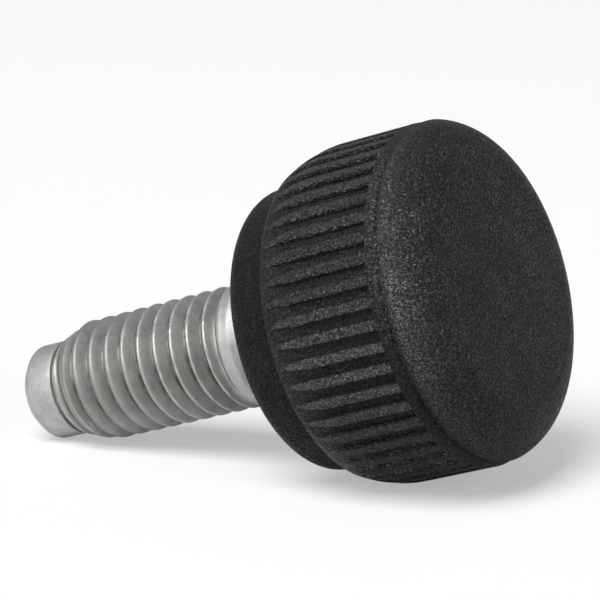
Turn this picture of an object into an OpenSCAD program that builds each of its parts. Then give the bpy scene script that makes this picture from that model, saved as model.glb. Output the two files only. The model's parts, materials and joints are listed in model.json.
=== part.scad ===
// Thumb screw: a threaded steel stud with a fluted plastic knob moulded round its anchor head.
// All lengths are in millimetres. Both pieces are drawn upright on the screw's own axis, with the
// knob's seat face at zero and the stud below it, and are then laid down as the screw rests on a table.

/* [Stud] */
// Nominal diameter of the thread
thread_d = 8; // [7.6:0.1:9]
// How far the rolled crests stay under the nominal diameter
crest_allowance = 0.15; // [0:0.05:0.3]
// Length of the stud that stands out of the knob
stud_len = 20; // [14:0.5:40]
// Diameter of the dog point at the stud's free end
dog_d = 6.1; // [5.6:0.05:6.4]
// Length of the dog point
dog_len = 2.55; // [1.5:0.05:4]
// Chamfer round the end of the dog point
dog_chamfer = 0.7; // [0.1:0.05:1]
// Diameter of the relief groove behind the dog point
relief_d = 5.5; // [3:0.1:5.8]
// Width of the relief groove
relief_w = 0.45; // [0.2:0.05:1]
// Diameter at which the thread's lead-in cone starts
lead_d = 6.4; // [5.8:0.1:7.2]
// Length of the lead-in cone
lead_len = 2; // [1:0.1:3]
// Length of the plain neck between the thread and the knob
neck_len = 2.6; // [1:0.1:4]
// Diameter of the plain neck
neck_d = 7.2; // [5:0.1:7.4]
// Length of the cone that leads from the thread down to the neck
neck_taper_len = 0.5; // [0.2:0.1:1]

/* [Anchor head inside the knob] */
// Diameter over the anchor's teeth
anchor_d = 10; // [9.2:0.1:13]
// Length of the anchor
anchor_len = 6.5; // [4:0.1:7.5]
// Depth of the anchor's underside below the seat face
anchor_depth = 2.4; // [1:0.1:3.5]
// Number of straight teeth round the anchor
anchor_teeth = 24; // [12:1:36]
// Depth of the anchor's teeth
tooth_depth = 0.5; // [0.2:0.05:0.7]
// Diameter of the groove that locks the anchor lengthways
lock_d = 8; // [7.4:0.1:8.8]
// Width of the locking groove
lock_w = 1.6; // [0.8:0.1:2.4]

/* [Knob] */
// Diameter of the knob over its ribs and its cap
knob_d = 21.1; // [17.5:0.1:30]
// Height of the smooth collar next to the stud
collar_h = 3.3; // [2:0.1:5]
// Rounding of the collar's lower edge
collar_edge_r = 1.2; // [0.2:0.1:1.8]
// Width of the step by which the fluted band overhangs the collar
step_w = 0.95; // [0.3:0.05:1.5]
// Height of the fluted part of the band, from the collar to the ends of the flutes
band_h = 7.75; // [5:0.05:12]
// Height of the band's rounded shoulder
shoulder_h = 3.2; // [2:0.1:4.5]
// How far the shoulder falls in from the ribs to the step
shoulder_drop = 0.75; // [0.3:0.05:1.5]
// Number of flutes round the band
flute_count = 50; // [30:2:60]
// Height above the collar at which the flutes run out on the shoulder
runout_h = 0.4; // [0.2:0.05:1]
// Depth of the flutes, as a share of how far the shoulder has fallen where they run out
flute_depth_share = 0.7; // [0.3:0.05:0.9]
// Share of each flute's pitch that is rib
rib_share = 0.52; // [0.3:0.02:0.7]
// Width of the plain rim past the ends of the flutes
rim_w = 0.15; // [0.05:0.05:1]
// Width of the sloping land between the rim and the seam
land_w = 0.5; // [0.2:0.05:1]
// Width of the lip between the seam and the cap
lip_w = 0.4; // [0.2:0.05:0.8]
// Depth of the seam between the band and the cap
seam_depth = 0.3; // [0.1:0.05:0.5]
// Height of the cap above its lip
cap_h = 2.3; // [1:0.05:5]
// Rounding of the cap's upper edge
cap_edge_r = 2.8; // [0.5:0.1:4]
// Rise of the slightly crowned top face
crown_h = 0.15; // [0.05:0.05:0.6]

/* [Hidden] */
$fn = 180;

// How far a cut runs past the surface that it opens
overrun = 1;
// Number of points taken along a rounded edge to find where the screw touches the table
touch_steps = 120;

// Radii and stations of the stud, down from the seat face
crest_r = (thread_d - crest_allowance) / 2;
dog_r = dog_d / 2;
relief_r = relief_d / 2;
lead_r = lead_d / 2;
neck_r = neck_d / 2;
tip_z = -stud_len;
dog_top_z = tip_z + dog_len;
lead_z = dog_top_z + relief_w;
thread_z = lead_z + lead_len;
neck_z = -neck_len;
thread_top_z = neck_z - neck_taper_len;

// Radii and stations of the anchor, up from the seat face, with the neck's top sunk into it
anchor_r = anchor_d / 2;
neck_top_z = anchor_depth + (anchor_len - lock_w) / 4;
tooth_root_r = anchor_r - tooth_depth;
lock_z = anchor_depth + (anchor_len - lock_w) / 2;

// Radii and stations of the knob, up from the seat face
band_r = knob_d / 2;
band_low_r = band_r - shoulder_drop;
collar_r = band_low_r - step_w;
cap_r = band_r;
shoulder_z = collar_h + shoulder_h;
band_z = collar_h + band_h;
seam_z = band_z + rim_w + land_w;
lip_z = seam_z + lip_w;
face_z = lip_z + cap_h;
seam_r = band_r - seam_depth;

// The cap's lip, where its rounded edge may already have begun
lip_drop = max(0, cap_edge_r - cap_h);
lip_r = cap_r - cap_edge_r + sqrt(cap_edge_r * cap_edge_r - lip_drop * lip_drop);

// The shoulder is an arc that runs smoothly into the band and meets the overhang's edge
shoulder_r = (shoulder_h * shoulder_h + shoulder_drop * shoulder_drop) / (2 * shoulder_drop);

// The crown is a shallow arc that spans the flat inside the cap's rounded edge
crown_span_r = cap_r - cap_edge_r;
crown_r = (crown_span_r * crown_span_r + crown_h * crown_h) / (2 * crown_h);

// Each flute's floor bends down the shoulder on a flatter arc, which meets it at the run-out
flute_angle = 360 / flute_count * (1 - rib_share);
bend_h = shoulder_h - runout_h;
runout_drop = shoulder_r - sqrt(shoulder_r * shoulder_r - bend_h * bend_h);
floor_r = band_r - runout_drop * flute_depth_share;
floor_drop = runout_drop * (1 - flute_depth_share);
floor_bend_r = (bend_h * bend_h + floor_drop * floor_drop) / (2 * floor_drop);

// Rims that can touch the table, each as [station, radius]
stud_rims = [
    [tip_z, dog_r - dog_chamfer],
    [tip_z + dog_chamfer, dog_r],
    [thread_z, crest_r],
    [thread_top_z, crest_r]
];
collar_rims = [for (i = [0 : touch_steps]) let (a = 90 * i / touch_steps)
    [collar_edge_r * (1 - sin(a)), collar_r - collar_edge_r * (1 - cos(a))]];
shoulder_rims = [for (i = [0 : touch_steps]) let (h = shoulder_h * i / touch_steps)
    [shoulder_z - h, band_r - shoulder_r + sqrt(shoulder_r * shoulder_r - h * h)]];
cap_rims = [for (i = [0 : touch_steps])
    let (a = 90 * i / touch_steps, z = face_z - cap_edge_r * (1 - sin(a)))
    if (z > lip_z) [z, cap_r - cap_edge_r * (1 - cos(a))]];
knob_rims = concat(collar_rims, shoulder_rims, [[band_z, band_r], [lip_z, lip_r]], cap_rims);
all_rims = concat(stud_rims, knob_rims);

// Lying screw: slope of its axis, height of its seat's centre and middle of its length on the table
lie_angle = min([for (p = stud_rims) max([for (q = knob_rims) atan2(q[1] - p[1], q[0] - p[0])])]);
lie_lift = max([for (p = all_rims) p[1] * cos(lie_angle) - p[0] * sin(lie_angle)]);
lie_low_x = min([for (p = all_rims) p[0] * cos(lie_angle) - p[1] * sin(lie_angle)]);
lie_high_x = max([for (p = all_rims) p[0] * cos(lie_angle) + p[1] * sin(lie_angle)]);
lie_mid_x = (lie_low_x + lie_high_x) / 2;

// Lays an upright piece on its side, stud tip towards -X, with the table at zero height
module laid_down() {
    translate([-lie_mid_x, 0, lie_lift])
        rotate([0, 90 - lie_angle, 0])
            children();
}

// What is left of a square corner outside its rounding, for a corner at the origin that
// points to +X and +Y
module corner_waste(r) {
    difference() {
        translate([-r, -r])
            square(r + overrun);
        translate([-r, -r])
            circle(r);
    }
}

// Half section of the collar
module collar_section() {
    difference() {
        square([collar_r, collar_h]);
        translate([collar_r, 0])
            mirror([0, 1])
                corner_waste(collar_edge_r);
    }
}

// Half section of the band's envelope, with its shoulder and without its flutes
module band_section() {
    difference() {
        translate([0, collar_h])
            square([band_r, seam_z - collar_h]);
        difference() {
            translate([collar_r, collar_h - overrun])
                square([band_r - collar_r + overrun, shoulder_h + overrun]);
            translate([band_r - shoulder_r, shoulder_z])
                circle(shoulder_r);
        }
    }
}

// Half section of the cap, with its rounded edge and crowned face
module cap_section() {
    difference() {
        translate([0, seam_z])
            square([cap_r, face_z - seam_z]);
        translate([cap_r, face_z])
            corner_waste(cap_edge_r);
    }
    intersection() {
        translate([0, face_z - overrun])
            square([crown_span_r, overrun + crown_h]);
        translate([0, face_z + crown_h - crown_r])
            circle(crown_r);
    }
}

// Half section of the V-shaped seam
module seam_section() {
    flare = (seam_depth + overrun) / seam_depth;
    polygon([
        [seam_r, seam_z],
        [band_r + overrun, seam_z - land_w * flare],
        [band_r + overrun, seam_z + lip_w * flare]
    ]);
}

// What one flute takes from the band's half section
module flute_section() {
    difference() {
        translate([collar_r, collar_h - overrun])
            square([band_r - collar_r + overrun, band_h + overrun]);
        translate([0, shoulder_z])
            square([floor_r, band_h]);
        translate([floor_r - floor_bend_r, shoulder_z])
            circle(floor_bend_r);
    }
}

// One flute with radial walls, on the +X side of the band
module flute() {
    rotate(-flute_angle / 2)
        rotate_extrude(angle = flute_angle)
            flute_section();
}

// Straight-toothed anchor head with its locking groove
module anchor() {
    difference() {
        translate([0, 0, anchor_depth])
            linear_extrude(anchor_len)
                polygon([for (i = [0 : 2 * anchor_teeth - 1])
                    let (r = i % 2 == 0 ? anchor_r : tooth_root_r, a = 180 * i / anchor_teeth)
                    [r * cos(a), r * sin(a)]]);
        translate([0, 0, lock_z])
            rotate_extrude()
                translate([lock_d / 2, 0])
                    square([anchor_r - lock_d / 2 + overrun, lock_w]);
    }
}

// Moulded knob: collar, fluted band and crowned cap in one, closed round the anchor
module knob() {
    color([0.07, 0.07, 0.075])
        laid_down()
            difference() {
                rotate_extrude()
                    difference() {
                        union() {
                            collar_section();
                            band_section();
                            cap_section();
                        }
                        seam_section();
                    }
                for (i = [0 : flute_count - 1])
                    rotate(360 * i / flute_count)
                        flute();
                anchor();
                translate([0, 0, -overrun])
                    cylinder(r = neck_r, h = neck_top_z + overrun);
            }
}

// Steel stud: dog point, relief groove, lead-in, thread at its crest diameter, neck and anchor
module stud() {
    color([0.62, 0.64, 0.63])
        laid_down()
            union() {
                rotate_extrude()
                    polygon([
                        [0, tip_z],
                        [dog_r - dog_chamfer, tip_z],
                        [dog_r, tip_z + dog_chamfer],
                        [dog_r, dog_top_z],
                        [relief_r, dog_top_z],
                        [relief_r, lead_z],
                        [lead_r, lead_z],
                        [crest_r, thread_z],
                        [crest_r, thread_top_z],
                        [neck_r, neck_z],
                        [neck_r, neck_top_z],
                        [0, neck_top_z]
                    ]);
                anchor();
            }
}

knob();
stud();
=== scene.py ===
import json
import math

import bmesh
import bpy
import numpy as np
from mathutils import Matrix, Vector


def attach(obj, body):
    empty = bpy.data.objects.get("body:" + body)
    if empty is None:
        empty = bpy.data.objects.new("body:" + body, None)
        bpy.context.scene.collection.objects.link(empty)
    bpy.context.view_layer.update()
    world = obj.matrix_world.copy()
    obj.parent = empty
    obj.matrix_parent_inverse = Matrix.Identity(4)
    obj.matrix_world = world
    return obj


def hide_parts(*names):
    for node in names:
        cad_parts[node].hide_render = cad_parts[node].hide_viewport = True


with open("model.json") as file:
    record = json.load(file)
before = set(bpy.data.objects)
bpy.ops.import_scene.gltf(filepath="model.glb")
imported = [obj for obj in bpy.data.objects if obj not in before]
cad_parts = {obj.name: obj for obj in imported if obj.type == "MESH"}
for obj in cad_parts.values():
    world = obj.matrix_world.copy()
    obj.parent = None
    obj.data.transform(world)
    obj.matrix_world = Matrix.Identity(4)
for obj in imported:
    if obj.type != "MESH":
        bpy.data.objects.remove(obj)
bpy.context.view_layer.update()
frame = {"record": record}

# Knob
# One black glass-filled nylon moulding, shot round the stud's head: a smooth collar, a fluted
# grip with a rounded shoulder and a domed cap. The mould parts at the seam under the cap, whose
# half sits a hair too high, and it gives the whole outside a fine leather grain.

# Sizes are in millimetres, and heights are counted along the axis from the collar's seat face
collar_r = 8.85
collar_h = 3.3
collar_edge_r = 1.2
seat_low_r = 4.6
collar_wall_z = 1.8
step_fillet_r = 0.08
band_low_r = 9.8
band_foot_r = 0.06
band_r = 10.549
shoulder_h = 3.2
shoulder_start = 0.97
band_wall_z = 6.8
flute_count = 50
flute_depth = 0.397
flute_end_z = 11.05
runout_h = 0.4
rim_z = 11.2
seam_z = 11.7
seam_r = 10.25
lip_r = 10.45
lip_z = 12.1
cap_edge_r = 3.3
face_z = 14.4
crown_h = 0.15
mould_shift = 0.068
flash_h = 0.05
flash_gap = 0.3
neck_hole_r = 3.61
hole_edge_r = 0.15
anchor_low_z = 2.4
anchor_high_z = 8.9
anchor_r = 5.0
anchor_teeth = 24
tooth_depth = 0.5
lock_low_z = 4.85
lock_high_z = 6.45
lock_r = 4.0
moulded_play = 0.01
axis_disc_r = 0.4
knob_sharp_angle = 50

# The screw rests on its side, on the rim of its dog point and the shoulder of its knob. A piece
# is shaped upright, with the table on its +X side, and is then laid where the mounts say.
MM = 0.001
mounts = {mount["name"]: mount for mount in frame["record"]["mounts"]}
axis = -Vector(mounts["thread"]["axis"]).normalized()
thread_middle = Vector(mounts["thread"]["pos_m"])
seat_distance = (Vector(mounts["seat"]["pos_m"]) - thread_middle).dot(axis)
seat_middle = thread_middle + axis * seat_distance
across = Vector((0, 1, 0))
down = across.cross(axis)
lying = Matrix((down, across, axis)).transposed().to_4x4()
laid = Matrix.Translation(seat_middle) @ lying @ Matrix.Scale(MM, 4)


def lay_mesh(name, points, faces, values, sharp_angle):
    """A piece's mesh, laid on the table, with named values at its points."""
    joined_within = 0.0005
    mesh = bpy.data.meshes.new(name)
    mesh.from_pydata(points.reshape(-1, 3).tolist(), [], faces)
    for key, numbers in values.items():
        attribute = mesh.attributes.new(key, "FLOAT", "POINT")
        attribute.data.foreach_set("value", numbers.ravel().astype(np.float32))
    work = bmesh.new()
    work.from_mesh(mesh)
    bmesh.ops.remove_doubles(work, verts=work.verts, dist=joined_within)
    bmesh.ops.recalc_face_normals(work, faces=work.faces)
    work.to_mesh(mesh)
    work.free()
    mesh.transform(laid)
    mesh.shade_smooth()
    mesh.set_sharp_from_angle(angle=math.radians(sharp_angle))
    piece = bpy.data.objects.new(name, mesh)
    bpy.context.scene.collection.objects.link(piece)
    return piece


def arc(middle_r, middle_z, radius, from_deg, to_deg, steps):
    """Points [r, z] along an arc, its angles counted from the outward direction to the cap."""
    turn = np.radians(np.linspace(from_deg, to_deg, steps))
    return [[middle_r + radius * math.cos(a), middle_z + radius * math.sin(a)] for a in turn]


def straight(start, end, steps):
    """Points [r, z] from start to end, both kept."""
    return [[float(r), float(z)] for r, z in np.linspace(start, end, steps)]


def ramp(values, start, length):
    """0 up to start, then rising evenly to 1 over the given length."""
    return np.clip((values - start) / length, 0, 1)


def wave(angle, seed, count=9, slowest=1, fastest=40):
    """A smooth random curve round the axis, between about -1 and 1, the same in every run."""
    draw = np.random.RandomState(seed)
    total = np.zeros_like(angle)
    for turns in draw.randint(slowest, fastest, count):
        total = total + np.sin(turns * angle + draw.uniform(0, 2 * math.pi))
    return total / math.sqrt(count)


# Where a flute's cross-section is sampled, as shares of its pitch from its middle, and how much
# of its depth it has there: a level floor, steep walls and rounded rib edges
wall_share = 0.255
half_flute = [0, 0.15, 0.215, wall_share, 0.29, 0.36, 0.5]
half_cut = [1, 1, 0.93, 0.14, 0.03, 0, 0]
flute_shares = np.array([-share for share in half_flute[:0:-1]] + half_flute[:-1])
flute_shares = np.tile(flute_shares, flute_count)
flute_cut = np.interp(np.abs(flute_shares), half_flute, half_cut)
flute_pitch = 2 * math.pi / flute_count
samples_per_flute = flute_shares.size // flute_count
flute_middle = np.repeat(np.arange(flute_count) * flute_pitch, samples_per_flute)

# The shoulder's arc, the flatter arc of the flutes' floor under it, and the cap's rounded edge
rise = band_r - band_low_r
shoulder_r = (shoulder_h ** 2 + rise ** 2) / (2 * rise)
shoulder_low = math.degrees(math.asin(shoulder_h / shoulder_r))
shoulder_top_z = collar_h + shoulder_h
bend_h = shoulder_h - runout_h
floor_drop = shoulder_r - math.sqrt(shoulder_r ** 2 - bend_h ** 2) - flute_depth
floor_bend_r = (bend_h ** 2 + floor_drop ** 2) / (2 * floor_drop)
lip_turn = math.asin((lip_z - face_z + cap_edge_r) / cap_edge_r)
crown_span = lip_r - cap_edge_r * math.cos(lip_turn)

# The outside, from the hole round the stud to the middle of the cap. Points that are set a little
# off a corner round it.
collar_rows = (arc(neck_hole_r + hole_edge_r, hole_edge_r, hole_edge_r, 180, 270, 4)
               + straight([seat_low_r, 0], [collar_r - collar_edge_r - 0.3, 0], 4)
               + arc(collar_r - collar_edge_r, collar_edge_r, collar_edge_r, -90, 0, 10)
               + straight([collar_r, collar_wall_z], [collar_r, collar_h - 0.12], 4)
               + arc(collar_r + step_fillet_r, collar_h - step_fillet_r, step_fillet_r, 180, 90, 3)
               + straight([collar_r + 0.3, collar_h], [band_low_r - 0.1, collar_h], 3))
band_rows = (arc(band_low_r - 0.08, collar_h + band_foot_r, band_foot_r, -90, -20, 3)
             + arc(band_r - shoulder_r, shoulder_top_z, shoulder_r, -shoulder_low * shoulder_start, 0, 26)
             + straight([band_r, band_wall_z], [band_r, flute_end_z - 0.1], 12)
             + [[band_r, flute_end_z - 0.02]])
rim_rows = ([[band_r - 0.01, flute_end_z + 0.02], [band_r, rim_z - 0.06], [band_r - 0.03, rim_z + 0.03]]
            + straight([band_r - 0.08, rim_z + 0.12], [seam_r + 0.03, seam_z - 0.04], 4)
            + [[seam_r, seam_z]])
lip_rows = straight([seam_r + 0.03, seam_z + 0.04], [lip_r - 0.05, lip_z - 0.06], 3)
edge_rows = arc(crown_span, face_z - cap_edge_r, cap_edge_r, math.degrees(lip_turn), 88, 22)
crown_rows = [[r, face_z + crown_h * (1 - (r / crown_span) ** 2)]
              for r in np.linspace(crown_span, axis_disc_r, 8)]
outside = np.array(collar_rows + band_rows + rim_rows + lip_rows + edge_rows + crown_rows)

# The cavity that the plastic leaves round the stud's neck and anchor head, from top to mouth
head_hole_r = anchor_r + moulded_play
lock_hole_r = lock_r + moulded_play
cavity = np.array([[axis_disc_r, anchor_high_z], [head_hole_r, anchor_high_z],
                   [head_hole_r, lock_high_z], [lock_hole_r, lock_high_z],
                   [lock_hole_r, lock_low_z], [head_hole_r, lock_low_z],
                   [head_hole_r, anchor_low_z], [neck_hole_r, anchor_low_z],
                   [neck_hole_r, hole_edge_r + 0.2]])
knob_rows = np.vstack([cavity, outside])
knob_r = np.repeat(knob_rows[:, :1], flute_cut.size, 1)
knob_z = np.repeat(knob_rows[:, 1:], flute_cut.size, 1)
first_band = len(cavity) + len(collar_rows)
first_rim = first_band + len(band_rows)
first_lip = first_rim + len(rim_rows)
first_edge = first_lip + len(lip_rows)
in_band = slice(first_band, first_rim)

# The flutes widen where they run out, so that the ribs end in points at the step
widening = 0.16
widening_h = 2
widen = 1 - ramp(knob_z, start=collar_h + runout_h, length=widening_h)
widen *= widening * (knob_z >= collar_h)
off_middle = np.abs(flute_shares)
rib_narrowing = (0.5 - wall_share - widen) / (0.5 - wall_share)
spread = np.where(off_middle <= wall_share,
                  off_middle / wall_share * (wall_share + widen),
                  0.5 - (0.5 - off_middle) * rib_narrowing)
knob_angle = flute_middle + np.sign(flute_shares) * spread * flute_pitch

# Teeth in the cavity and flutes in the band
tooth = np.abs((knob_angle * anchor_teeth / (2 * math.pi) + 0.5) % 1 - 0.5) * 2
on_teeth = (np.arange(len(knob_rows)) < len(cavity)) & (knob_rows[:, 0] == head_hole_r)
knob_r[on_teeth] -= tooth_depth * tooth[on_teeth]
below = np.clip(shoulder_top_z - knob_z[in_band], 0, None)
floor_r = band_r - flute_depth - floor_bend_r + np.sqrt(floor_bend_r ** 2 - below ** 2)
knob_r[in_band] -= np.clip(knob_r[in_band] - floor_r, 0, None) * flute_cut

# Where ribs, their edges and flutes are, fading out at the run-out
rib_side = 1.6
runout_fade_h = 0.7
above_runout = ramp(knob_z, start=collar_h + runout_h, length=runout_fade_h)
on_rib = np.zeros_like(knob_r)
on_rib[in_band] = np.clip(1 - flute_cut * rib_side, 0, 1) * above_runout[in_band]
in_flute = np.zeros_like(knob_r)
in_flute[in_band] = 1 - on_rib[in_band]
rib_edge = np.zeros_like(knob_r)
rib_edge[in_band] = (off_middle == wall_share) * above_runout[in_band]

# Degrees round the knob, 0 at the table and negative on the side of -Y
turned = (np.degrees(knob_angle) - 90) % 360 - 270


def worn_patch(middle, width):
    """1 at the given degrees round the knob, fading out over a width in degrees."""
    return np.exp(-((turned - middle) / width) ** 2)


# Fingers have polished the ribs, the rim and the cap's rounded edge on one side of the knob, and
# near the table the flutes are about as glossy as the ribs
rib_polish = 0.1
lower_rib_polish = 0.74
upper_rib_polish = 0.46
rim_polish = 0.95
rim_polish_reach = 0.1
cap_polish = 0.95
cap_polish_reach = 1.5
flute_polish = 1.3
spared_rib_share = 0.8
near_table = worn_patch(middle=-26, width=24)
rubbed = rib_polish + lower_rib_polish * worn_patch(middle=-80, width=24)
rubbed += upper_rib_polish * worn_patch(middle=-140, width=30)
rubbed *= on_rib * (1 - spared_rib_share * near_table)
rubbed += flute_polish * in_flute * near_table
in_flute *= 1 - near_table
rib_edge *= worn_patch(middle=-118, width=28)
on_cap_edge = 1 - ramp(knob_z, start=face_z - 1.75, length=1.8)
on_cap_edge *= ramp(knob_z, start=lip_z - 0.6, length=1.0)
on_cap_edge *= knob_r > crown_span - cap_polish_reach
rubbed += cap_polish * on_cap_edge * worn_patch(middle=-105, width=45)
on_rim = 1 - ramp(np.abs(knob_z - seam_z), start=0.16, length=0.8)
on_rim *= (knob_z > flute_end_z) & (knob_r > seam_r - rim_polish_reach)
rubbed += rim_polish * on_rim * worn_patch(middle=-128, width=36)

# The cap's face, with more wear towards its upper side, and the groove of the seam
least_face_wear = 0.2
face_wear_middle = 0.75
face_wear_span = 14
seam_groove_h = 0.12
seam_reach = 0.35
on_face = ramp(knob_z, start=face_z - 1.6, length=1.2)
face_wear = face_wear_middle - knob_r * np.cos(knob_angle) / face_wear_span
on_face *= np.clip(face_wear, least_face_wear, 1)
in_seam = np.exp(-((knob_z - seam_z) / seam_groove_h) ** 2) * (np.abs(knob_r - seam_r) < seam_reach)

# A thin uneven flash stands on the lip of the cap's half, and that half is shifted upwards
flash_row = first_edge - 1
knob_r[flash_row] += flash_h * np.clip(wave(knob_angle[flash_row], seed=4) - flash_gap, 0, 1)
knob_points = np.stack([knob_r * np.cos(knob_angle), knob_r * np.sin(knob_angle), knob_z], -1)
knob_points[first_lip:, :, 0] -= mould_shift
knob_corners = np.arange(knob_r.size).reshape(knob_r.shape)
next_corners = np.roll(knob_corners, -1, 1)
knob_faces = np.stack([knob_corners[:-1], next_corners[:-1], next_corners[1:], knob_corners[1:]], -1)
knob_faces = knob_faces.reshape(-1, 4).tolist()
knob_faces += [knob_corners[0].tolist(), knob_corners[-1].tolist()]
knob_values = {"in_flute": in_flute, "rubbed": rubbed, "rib_edge": rib_edge,
               "on_face": on_face, "in_seam": in_seam}
knob = lay_mesh("knob_body", knob_points, knob_faces, knob_values, knob_sharp_angle)


def new_material(name):
    """An empty material: itself, its node tree and its Principled shader."""
    material = bpy.data.materials.new(name)
    material.use_nodes = True
    tree = material.node_tree
    return material, tree, tree.nodes["Principled BSDF"]


def put(tree, socket, value):
    """Sets a node's input, or links it where another node's output is given."""
    if isinstance(value, bpy.types.NodeSocket):
        tree.links.new(value, socket)
    else:
        socket.default_value = value


def point_value(tree, name):
    """A value that the mesh carries at its points."""
    node = tree.nodes.new("ShaderNodeAttribute")
    node.attribute_name = name
    return node.outputs["Fac"]


def noise(tree, place, scale, detail, roughness=0.5, distortion=0.0):
    """Soft random spots between 0 and 1."""
    node = tree.nodes.new("ShaderNodeTexNoise")
    put(tree, node.inputs["Vector"], place)
    put(tree, node.inputs["Scale"], scale)
    put(tree, node.inputs["Detail"], detail)
    put(tree, node.inputs["Roughness"], roughness)
    put(tree, node.inputs["Distortion"], distortion)
    return node.outputs["Fac"]


def remap(tree, value, within, onto):
    """A value carried from one range onto another, and held at its ends."""
    node = tree.nodes.new("ShaderNodeMapRange")
    put(tree, node.inputs["Value"], value)
    for socket, number in zip(node.inputs[1:5], within + onto):
        put(tree, socket, number)
    return node.outputs[0]


def calculate(tree, operation, *terms):
    """The result of one step of arithmetic."""
    node = tree.nodes.new("ShaderNodeMath")
    node.operation = operation
    for socket, term in zip(node.inputs, terms):
        put(tree, socket, term)
    return node.outputs[0]


def blend(tree, kind, share, first, second):
    """Two values (FLOAT) or two colours (RGBA), mixed by the share of the second."""
    first_socket, result = {"FLOAT": (2, 0), "RGBA": (6, 2)}[kind]
    node = tree.nodes.new("ShaderNodeMix")
    node.data_type = kind
    put(tree, node.inputs[0], share)
    put(tree, node.inputs[first_socket], first)
    put(tree, node.inputs[first_socket + 1], second)
    return node.outputs[result]


def bumps(tree, height, strength, distance):
    """A normal that shows heights as relief, a height of 1 being the distance in metres."""
    node = tree.nodes.new("ShaderNodeBump")
    put(tree, node.inputs["Height"], height)
    put(tree, node.inputs["Strength"], strength)
    put(tree, node.inputs["Distance"], distance)
    return node.outputs["Normal"]


nylon_dark = (0.009, 0.0088, 0.0092, 1)
nylon_pale = (0.014, 0.0134, 0.0136, 1)
painted_seam_shade = (0.005, 0.005, 0.005, 1)
pebble_share = 0.95
flute_gloss = 0.23
nylon, tree, shader = new_material("black_grained_nylon")
place = tree.nodes.new("ShaderNodeTexCoord").outputs["Object"]
flute_mask = point_value(tree, "in_flute")
rub_mask = point_value(tree, "rubbed")
edge_mask = point_value(tree, "rib_edge")
face_mask = point_value(tree, "on_face")
seam_mask = point_value(tree, "in_seam")

# The leather grain is of fine worms and pebbles, shallower in the flutes
grain = noise(tree, place, scale=8500.0, detail=2.0, roughness=0.55, distortion=1.0)
blotch = noise(tree, place, scale=420.0, detail=4.0, roughness=0.6)
pebble = tree.nodes.new("ShaderNodeTexVoronoi")
put(tree, pebble.inputs["Vector"], place)
put(tree, pebble.inputs["Scale"], 5600.0)
put(tree, pebble.inputs["Randomness"], 1.0)
grain_height = calculate(tree, "MULTIPLY_ADD", pebble.outputs["Distance"], pebble_share, grain)
grain_depth = remap(tree, flute_mask, within=(0.0, 1.0), onto=(1.0, 0.7))
grain_height = calculate(tree, "MULTIPLY", grain_height, grain_depth)

# The plastic is a little blotched, and the seam's groove is painted darker as shade
tint = remap(tree, blotch, within=(0.3, 0.7), onto=(0.0, 1.0))
nylon_tone = blend(tree, "RGBA", tint, nylon_dark, nylon_pale)
nylon_tone = blend(tree, "RGBA", seam_mask, nylon_tone, painted_seam_shade)

# Polish lifts the gloss of the grain's tops, less so in the seam and in the flutes
polish = remap(tree, rub_mask, within=(0.0, 1.0), onto=(0.13, 1.0))
out_of_seam = remap(tree, seam_mask, within=(0.0, 1.0), onto=(1.0, 0.8))
glint = remap(tree, grain, within=(0.46, 0.68), onto=(0.2, 2.0))
bare_glint = calculate(tree, "MULTIPLY", glint, out_of_seam)
sparkle = calculate(tree, "MULTIPLY", polish, bare_glint)
flute_glint = calculate(tree, "MULTIPLY", glint, flute_gloss)
gloss = blend(tree, "FLOAT", flute_mask, sparkle, flute_glint)

# Bright dots stand along the edges of the ribs, and clusters of specks on the cap's face
dot = remap(tree, grain, within=(0.48, 0.6), onto=(0.0, 2.6))
gloss = calculate(tree, "MULTIPLY_ADD", dot, edge_mask, gloss)
speck = remap(tree, grain, within=(0.57, 0.67), onto=(0.0, 1.0))
cluster = remap(tree, blotch, within=(0.38, 0.62), onto=(0.3, 1.2))
face_cluster = calculate(tree, "MULTIPLY", cluster, face_mask)
gloss = calculate(tree, "MULTIPLY_ADD", speck, face_cluster, gloss)

put(tree, shader.inputs["Base Color"], nylon_tone)
put(tree, shader.inputs["Roughness"], remap(tree, sparkle, within=(0.0, 1.5), onto=(0.44, 0.25)))
put(tree, shader.inputs["Specular IOR Level"], gloss)
put(tree, shader.inputs["Normal"], bumps(tree, grain_height, strength=1.0, distance=0.00011))
knob.data.materials.append(nylon)
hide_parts("knob")
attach(knob, "root")

# Stud
# One turned steel piece with a rolled right-hand M8 thread, zinc plated to a satin grey. Its
# plain dog point leads it into a hole, and its toothed head is moulded into the knob. The crests
# have the fine fold that rolling leaves, and the roots hold some brown dirt and painted shade.

tip_z = -20.0
dog_r = 3.05
dog_chamfer = 0.7
dog_top_z = -17.45
relief_r = 2.75
lead_z = -17.0
lead_r = 3.2
full_thread_z = -15.0
crest_r = 3.925
pitch = 1.25
thread_depth = 0.767
runout_low_z = -4.6
runout_high_z = -3.7
thread_top_z = -3.1
neck_z = -2.6
neck_r = 3.6
neck_middle_z = -1.6
# A crest of the thread stands at this height on the side that the table is on
crest_z = -14.52
stud_columns = 192
stud_sharp_angle = 35

# Half of one pitch, as shares of it from the crest's middle, and the depth there as a share of
# the thread's depth: a rounded crest, straight flanks and a round root. Near the tip the crests
# are blunt.
half_shares = [0, 0.03, 0.07, 0.1, 0.14, 0.2, 0.28, 0.35, 0.4, 0.45, 0.5]
half_depths = [0.0, 0.012, 0.075, 0.14, 0.24, 0.4, 0.62, 0.81, 0.92, 0.985, 1.0]
blunt_depths = [0.05, 0.055, 0.075, 0.11, 0.2, 0.38, 0.61, 0.8, 0.91, 0.96, 0.97]
pitch_shares = np.array([-share for share in half_shares[:0:-1]] + half_shares[:-1])

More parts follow.
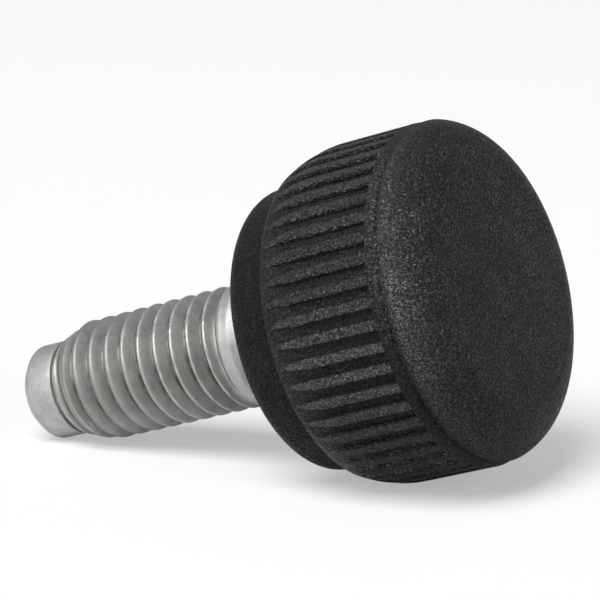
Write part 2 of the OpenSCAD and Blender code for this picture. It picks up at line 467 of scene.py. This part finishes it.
# The dog point with its relief groove, and the plain top with the neck and the anchor head. Points
# that are set a little off a corner round it.
tip_r = dog_r - dog_chamfer
dog_low_z = tip_z + dog_chamfer
dog_rows = (straight([axis_disc_r, tip_z], [tip_r - 0.12, tip_z], 3)
            + [[tip_r, tip_z + 0.03]]
            + straight([tip_r + 0.08, tip_z + 0.09], [dog_r - 0.06, dog_low_z - 0.05], 4)
            + [[dog_r - 0.012, dog_low_z + 0.06]]
            + straight([dog_r, dog_low_z + 0.2], [dog_r, dog_top_z - 0.06], 5)
            + [[dog_r - 0.02, dog_top_z - 0.01], [relief_r + 0.05, dog_top_z + 0.03]]
            + straight([relief_r, dog_top_z + 0.08], [relief_r, lead_z - 0.05], 3))
ring_r = crest_r - 0.015
top_rows = (straight([ring_r, runout_high_z + 0.1], [ring_r, thread_top_z - 0.03], 4)
            + [[crest_r - 0.04, thread_top_z + 0.02]]
            + straight([crest_r - 0.07, thread_top_z + 0.07], [neck_r, neck_z], 3)
            + straight([neck_r, neck_middle_z], [neck_r, anchor_low_z], 4)
            + [[anchor_r, anchor_low_z], [anchor_r, lock_low_z],
               [lock_r, lock_low_z], [lock_r, lock_high_z],
               [anchor_r, lock_high_z], [anchor_r, anchor_high_z], [axis_disc_r, anchor_high_z]])

# The thread's rows climb with the helix and are held level where it starts and ends
stud_angle = np.arange(stud_columns) * 2 * math.pi / stud_columns
climb = stud_angle / (2 * math.pi)
turn_count = math.ceil((runout_high_z - lead_z) / pitch) + 2
first_turn = math.floor((lead_z - crest_z) / pitch) - 1
row_z = crest_z + pitch * (first_turn + np.arange(turn_count)[:, None] + pitch_shares).ravel()
helix_z = np.clip(row_z[:, None] + pitch * climb, lead_z, runout_high_z)
from_crest = ((helix_z - crest_z) / pitch - climb + 0.5) % 1 - 0.5
phase = np.abs(from_crest)
helix_turn = (helix_z - lead_z) / pitch * 2 * math.pi

# The fold and the nicks of the crests, and how blunt the crests are
fold_width = 0.03
fold_depth = 0.045
fold_mean = 0.5
fold_swing = 0.6
nick_width = 0.12
nick_depth = 0.05
nick_gap = 0.55
blunt_low_z = -13
blunt_h = 4
spared_by_blunting = 0.7
fold_presence = fold_mean + fold_swing * wave(helix_turn, seed=7, count=7, slowest=1, fastest=9)
fold = np.exp(-(phase / fold_width) ** 2) * np.clip(fold_presence, 0, 1)
nick = np.clip(wave(helix_turn, seed=12, count=11, slowest=9, fastest=45) - nick_gap, 0, 1)
nick *= 1 - ramp(phase, start=0, length=nick_width)
blunt = 1 - ramp(helix_z, start=blunt_low_z, length=blunt_h)
sunk_sharp = np.interp(phase, half_shares, half_depths)
sunk_blunt = np.interp(phase, half_shares, blunt_depths)
sunk = (1 - blunt) * sunk_sharp + blunt * sunk_blunt

# The thread fades out smoothly at its top end and starts on a lead-in cone
fade = ramp(helix_z, start=runout_low_z, length=runout_high_z - runout_low_z)
fade = 1 - fade * fade * (3 - 2 * fade)
crest_marks = (fold_depth * fold + nick_depth * nick) * (1 - spared_by_blunting * blunt)
thread_r = crest_r - (thread_depth * sunk + crest_marks) * fade
lead_cone = lead_r + (crest_r - lead_r) * (helix_z - lead_z) / (full_thread_z - lead_z)
thread_r = np.minimum(thread_r, np.maximum(lead_cone, lead_r))

# A brown darkening, partly dirt and partly painted shade, sits in the roots and on the flanks
# that face the tip. The crests are lighter, but for the blunt ones, which are painted darker as
# shade over their highlights
crest_narrowness = 7
fold_dulling = 0.7
in_root = ramp(phase, start=0.33, length=0.1) + ramp(-from_crest, start=0.1, length=0.12)
in_root = np.clip(in_root, 0, 1) * fade * ramp(helix_z, start=lead_z, length=0.6)
on_crest = np.clip(1 - sunk * crest_narrowness - nick - fold_dulling * fold, 0, 1) * (1 - blunt)
on_crest *= ramp(thread_r, start=lead_r, length=1 / 3)
# The blunt crests are marked for painted shade that dims their highlights
blunt_crest_shade = blunt * (1 - ramp(phase, start=0.033, length=0.11))


def level_rows(rows):
    """Radii and heights of plain rows round the stud."""
    rows = np.array(rows)
    return np.repeat(rows[:, :1], stud_columns, 1), np.repeat(rows[:, 1:], stud_columns, 1)


dog_radii, dog_heights = level_rows(dog_rows)
top_radii, top_heights = level_rows(top_rows)
stud_tooth = np.abs((climb * anchor_teeth + 0.5) % 1 - 0.5) * 2
top_radii[top_radii[:, 0] == anchor_r] -= tooth_depth * stud_tooth
stud_r = np.vstack([dog_radii, thread_r, top_radii])
stud_z = np.vstack([dog_heights, helix_z, top_heights])
stud_points = np.stack([stud_r * np.cos(stud_angle), stud_r * np.sin(stud_angle), stud_z], -1)
stud_values = {"in_root": in_root, "on_crest": on_crest, "blunt_crest_shade": blunt_crest_shade}
for key, numbers in stud_values.items():
    stud_values[key] = np.vstack([np.zeros_like(dog_radii), numbers, np.zeros_like(top_radii)])

# A helical row ends one turn higher than it starts, so its last column joins the row that
# stands one pitch further on
corners = np.arange(stud_r.size).reshape(stud_r.shape)
stud_faces = np.stack([corners[:-1, :-1], corners[:-1, 1:], corners[1:, 1:], corners[1:, :-1]], -1)
stud_faces = stud_faces.reshape(-1, 4).tolist()
first_helix = len(dog_rows)
last_helix = first_helix + len(row_z) - 1
rows_per_pitch = len(pitch_shares)
for row in range(len(corners) - 1):
    here = row
    above = row + 1
    if first_helix <= row < last_helix:
        here = min(row + rows_per_pitch, last_helix)
        above = min(row + 1 + rows_per_pitch, last_helix)
    join = [corners[row, -1], corners[here, 0], corners[above, 0], corners[row + 1, -1]]
    stud_faces.append([int(number) for number in join])
stud_faces += [corners[0].tolist(), corners[-1].tolist()]
stud = lay_mesh("stud_body", stud_points, stud_faces, stud_values, stud_sharp_angle)

plate_dark = (0.325, 0.333, 0.32, 1)
plate_pale = (0.49, 0.498, 0.485, 1)
crest_bright = (0.45, 0.46, 0.45, 1)
blunt_crest_shade_tone = (0.26, 0.265, 0.257, 1)
dirt_and_shade_brown = (0.085, 0.074, 0.06, 1)
zinc, tree, shader = new_material("satin_zinc_plate")
place = tree.nodes.new("ShaderNodeTexCoord").outputs["Object"]
root_mask = point_value(tree, "in_root")
crest_mask = point_value(tree, "on_crest")
blunt_crest_shade_mask = point_value(tree, "blunt_crest_shade")
cloud = noise(tree, place, scale=900.0, detail=6.0, roughness=0.68)
frost = noise(tree, place, scale=9000.0, detail=2.0)
plate_patch = remap(tree, cloud, within=(0.3, 0.7), onto=(0.0, 1.0))
plate_tone = blend(tree, "RGBA", plate_patch, plate_dark, plate_pale)
# Painted shade, partly dirt: the roots and the flanks that face the tip turn brown and darker
dirt_and_shade_place = remap(tree, root_mask, within=(0.1, 0.9), onto=(0.0, 1.0))
dirt_and_shade_spot = remap(tree, cloud, within=(0.35, 0.6), onto=(0.55, 1.0))
dirt_and_shade = calculate(tree, "MULTIPLY", dirt_and_shade_place, dirt_and_shade_spot)
plate_tone = blend(tree, "RGBA", dirt_and_shade, plate_tone, dirt_and_shade_brown)
plate_tone = blend(tree, "RGBA", crest_mask, plate_tone, crest_bright)
# Painted shade darkens the blunt crests to dim their highlights
plate_tone = blend(tree, "RGBA", blunt_crest_shade_mask, plate_tone, blunt_crest_shade_tone)
put(tree, shader.inputs["Metallic"], 1.0)
put(tree, shader.inputs["Base Color"], plate_tone)
put(tree, shader.inputs["Roughness"], remap(tree, frost, within=(0.3, 0.7), onto=(0.5, 0.65)))
put(tree, shader.inputs["Normal"], bumps(tree, frost, strength=0.35, distance=0.00002))
stud.data.materials.append(zinc)
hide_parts("stud")
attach(stud, "root")

# Table
# A plain sheet of white paper that the screw lies on. It is matt and takes the screw's soft
# shadow, and it is whitened a little for the camera and less so in reflections.

floor_half = 1.0
paper_dark = (0.96, 0.96, 0.96, 1)
paper_pale = (0.98, 0.98, 0.98, 1)
camera_whitening = 0.4
mirror_whitening = 0.12
floor_corners = [(-floor_half, -floor_half, 0), (floor_half, -floor_half, 0),
                 (floor_half, floor_half, 0), (-floor_half, floor_half, 0)]
floor_mesh = bpy.data.meshes.new("floor")
floor_mesh.from_pydata(floor_corners, [], [(0, 1, 2, 3)])
floor = bpy.data.objects.new("floor", floor_mesh)
bpy.context.scene.collection.objects.link(floor)
paper, tree, shader = new_material("white_table")
place = tree.nodes.new("ShaderNodeTexCoord").outputs["Generated"]
fibre = noise(tree, place, scale=300.0, detail=3.0)
put(tree, shader.inputs["Base Color"], blend(tree, "RGBA", fibre, paper_dark, paper_pale))
put(tree, shader.inputs["Roughness"], 0.9)
rays = tree.nodes.new("ShaderNodeLightPath").outputs
mirrored = calculate(tree, "MAXIMUM", rays["Is Glossy Ray"], rays["Is Transmission Ray"])
mirror_white = calculate(tree, "MULTIPLY", mirrored, mirror_whitening)
whiteness = calculate(tree, "MULTIPLY_ADD", rays["Is Camera Ray"], camera_whitening, mirror_white)
white = tree.nodes.new("ShaderNodeEmission")
put(tree, white.inputs["Color"], (1, 1, 1, 1))
put(tree, white.inputs["Strength"], 1.0)
whitened = tree.nodes.new("ShaderNodeMixShader")
put(tree, whitened.inputs[0], whiteness)
put(tree, whitened.inputs[1], shader.outputs[0])
put(tree, whitened.inputs[2], white.outputs[0])
put(tree, tree.nodes["Material Output"].inputs["Surface"], whitened.outputs[0])
floor_mesh.materials.append(paper)

# Light
# Soft studio light: a wide lamp high in front, a weaker window low on the left and a faint fill
# on the right. The surroundings are white to the camera, half as bright in reflections, and
# light the screw only weakly.

surround_light = 0.15
surround_mirrored = 0.5
studio = bpy.data.worlds.new("studio")
bpy.context.scene.world = studio
studio.use_nodes = True
tree = studio.node_tree
background = tree.nodes["Background"]
put(tree, background.inputs["Color"], (1, 1, 1, 1))
rays = tree.nodes.new("ShaderNodeLightPath").outputs
mirrored = calculate(tree, "MAXIMUM", rays["Is Glossy Ray"], rays["Is Transmission Ray"])
surround = remap(tree, mirrored, within=(0.0, 1.0), onto=(surround_light, surround_mirrored))
surround = calculate(tree, "MAXIMUM", rays["Is Camera Ray"], surround)
put(tree, background.inputs["Strength"], surround)


def direction(azimuth, elevation):
    """A direction away from the screw, its azimuth counted from -Y towards +X."""
    a = math.radians(azimuth)
    e = math.radians(elevation)
    return Vector((math.sin(a) * math.cos(e), -math.cos(a) * math.cos(e), math.sin(e)))


def soft_lamp(name, azimuth, elevation, distance, size, power):
    """A square lamp that looks at the screw."""
    screw_middle = Vector((0, 0, 0.01))
    back = direction(azimuth, elevation)
    data = bpy.data.lights.new(name, "AREA")
    data.shape = "SQUARE"
    data.size = size
    data.energy = power
    lamp = bpy.data.objects.new(name, data)
    lamp.location = screw_middle + back * distance
    lamp.rotation_mode = "QUATERNION"
    lamp.rotation_quaternion = back.to_track_quat("Z", "Y")
    bpy.context.scene.collection.objects.link(lamp)


soft_lamp("front_softbox", azimuth=0, elevation=54, distance=3.6, size=2.2, power=140.0)
soft_lamp("left_window", azimuth=-36, elevation=12, distance=4.0, size=2.4, power=40.0)
soft_lamp("right_fill", azimuth=72, elevation=24, distance=3.0, size=1.0, power=12.0)

# Camera
# It looks a little down on the lying screw, from the side of its cap, with a long lens, and is
# turned a touch about its own axis.

view_distance = 0.2
view_roll = -0.593
view_aim = Vector((1.438, 0.191, 10.423)) * MM
back = direction(azimuth=29.273, elevation=10.74)
camera = bpy.data.objects.new("camera", bpy.data.cameras.new("camera"))
camera.data.lens = 194.85
camera.data.sensor_width = 36.0
camera.data.clip_start = 0.01
camera.data.clip_end = 10.0
camera.location = view_aim + back * view_distance
camera.rotation_mode = "QUATERNION"
level = back.to_track_quat("Z", "Y")
camera.rotation_quaternion = level @ Matrix.Rotation(math.radians(view_roll), 3, "Z").to_quaternion()
bpy.context.scene.collection.objects.link(camera)
bpy.context.scene.camera = camera
bpy.context.scene.view_settings.view_transform = "Standard"
